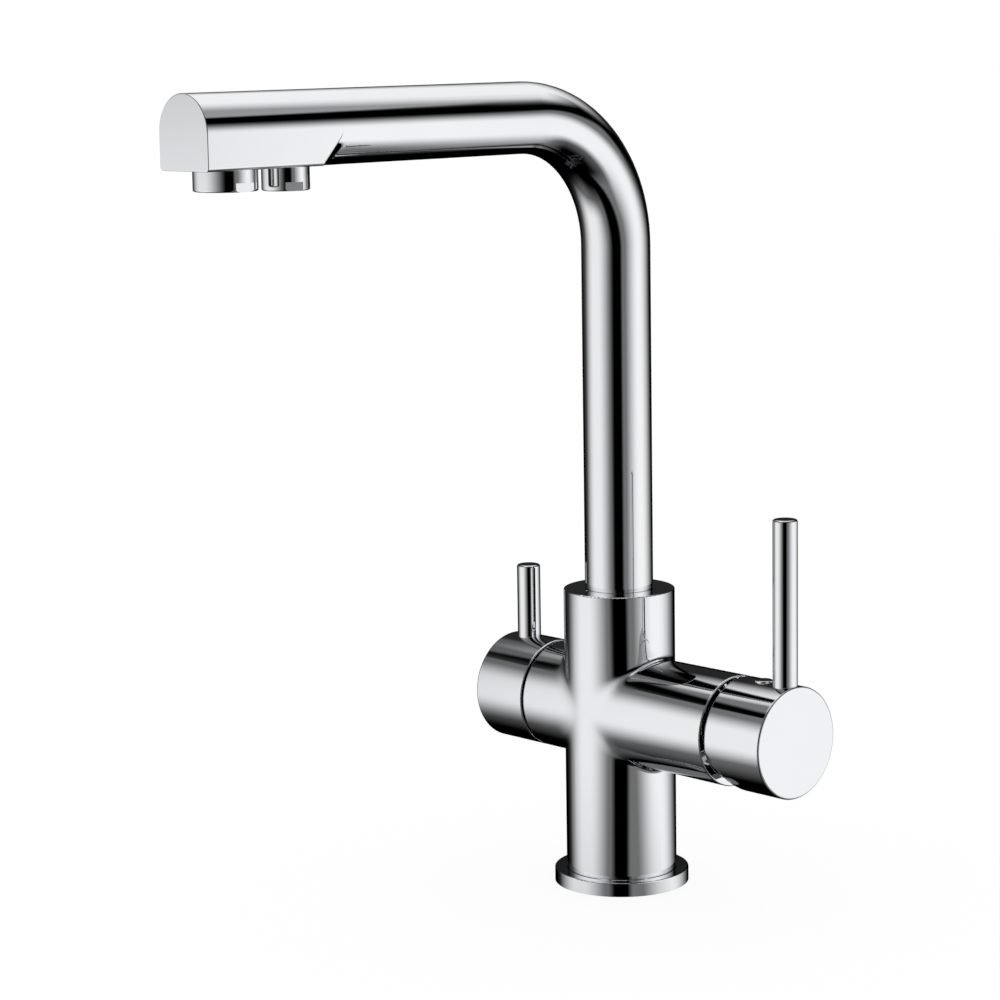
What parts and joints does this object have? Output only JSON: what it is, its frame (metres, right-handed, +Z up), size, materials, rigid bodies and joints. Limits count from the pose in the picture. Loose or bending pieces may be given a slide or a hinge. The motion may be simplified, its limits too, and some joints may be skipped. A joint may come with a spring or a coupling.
{
  "type": "three way filtered water tap",
  "caption": "Deck-mounted kitchen tap with a swivel spout: a side lever mixes hot and cold, a second lever opens a separate filtered-water outlet.",
  "frame": {"origin": "centre of the base flange's underside, on the column's axis and on the deck", "axes": "+Z up the column; -Y along the spout, towards the person who stands at the sink; +X along the mixer arm"},
  "size_m": [0.1627, 0.2477, 0.3363],
  "materials": {
    "chrome_body": "polished chrome plate on brass",
    "chrome_spout": "polished chrome plate on brass",
    "chrome_handles": "polished chrome plate on cast metal",
    "chrome_trim": "polished chrome plate",
    "brass": "machined, bare",
    "steel_hardware": "turned stainless steel",
    "seal_rubber": "moulded black rubber",
    "ceramic": "lapped alumina",
    "cartridge_plastic": "moulded engineering plastic",
    "white_plastic": "smooth low-friction plastic",
    "insert_plastic": "moulded grey plastic"
  },
  "bodies": {
    "tap_body": {"body_casting": "chrome_body", "base_flange": "chrome_body", "base_seal": "seal_rubber", "spout_slip_washer": "white_plastic", "spout_lock_screw": "steel_hardware", "cartridge_base": "cartridge_plastic", "cartridge_seals": "seal_rubber", "fixed_ceramic_disc": "ceramic", "cartridge_housing": "cartridge_plastic", "cartridge_nut": "brass", "mixer_trim_dome": "chrome_trim", "filter_seat_washer": "seal_rubber", "filter_headwork": "brass", "filter_fixed_disc": "ceramic"},
    "mixer_turret": {"cartridge_turret": "cartridge_plastic", "stem_pin": "steel_hardware"},
    "disc_slider": {"disc_carrier": "cartridge_plastic", "moving_ceramic_disc": "ceramic"},
    "mixer_handle": {"cartridge_stem": "steel_hardware", "mixer_barrel": "chrome_handles", "mixer_lever": "chrome_handles", "mixer_grub_screw": "steel_hardware", "index_plug": "chrome_trim"},
    "filter_handle": {"filter_moving_disc": "ceramic", "filter_spindle": "brass", "spindle_o_ring": "seal_rubber", "spindle_clip": "steel_hardware", "filter_barrel": "chrome_handles", "filter_lever": "chrome_handles", "filter_grub_screw": "steel_hardware"},
    "spout": {"spout_tail": "chrome_trim", "tail_o_rings": "seal_rubber", "spout_tube": "chrome_spout", "spout_head": "chrome_spout", "line_connector": "brass", "line_o_ring": "seal_rubber", "filter_inner_tube": "white_plastic", "mixed_outlet": "chrome_trim", "mixed_insert": "insert_plastic", "mixed_washer": "seal_rubber", "filtered_outlet": "chrome_trim", "filtered_insert": "insert_plastic", "filtered_washer": "seal_rubber"}
  },
  "joints": [
    {"name": "spout_swivel", "type": "hinge", "parent": "tap_body", "child": "spout", "pos_m": [0, 0, 0.1255], "axis": [0, 0, 1], "continuous": true},
    {"name": "mixer_temperature", "type": "hinge", "parent": "tap_body", "child": "mixer_turret", "pos_m": [0.058, 0, 0.075], "axis": [1, 0, 0], "range_deg": [-45, 45]},
    {"name": "mixer_flow", "type": "hinge", "parent": "mixer_turret", "child": "mixer_handle", "pos_m": [0.058, 0, 0.075], "axis": [0, 1, 0], "range_deg": [0, 22]},
    {"name": "mixer_disc_slide", "type": "slide", "parent": "mixer_turret", "child": "disc_slider", "axis": [0, 0, 1], "range_m": [0, 0.0047]},
    {"name": "filter_turn", "type": "hinge", "parent": "tap_body", "child": "filter_handle", "pos_m": [-0.036, 0, 0.075], "axis": [1, 0, 0], "range_deg": [0, 90]}
  ],
  "couplings": [
    {"joint": "mixer_disc_slide", "follows": "mixer_flow", "m_per_rad": 0.012}
  ]
}
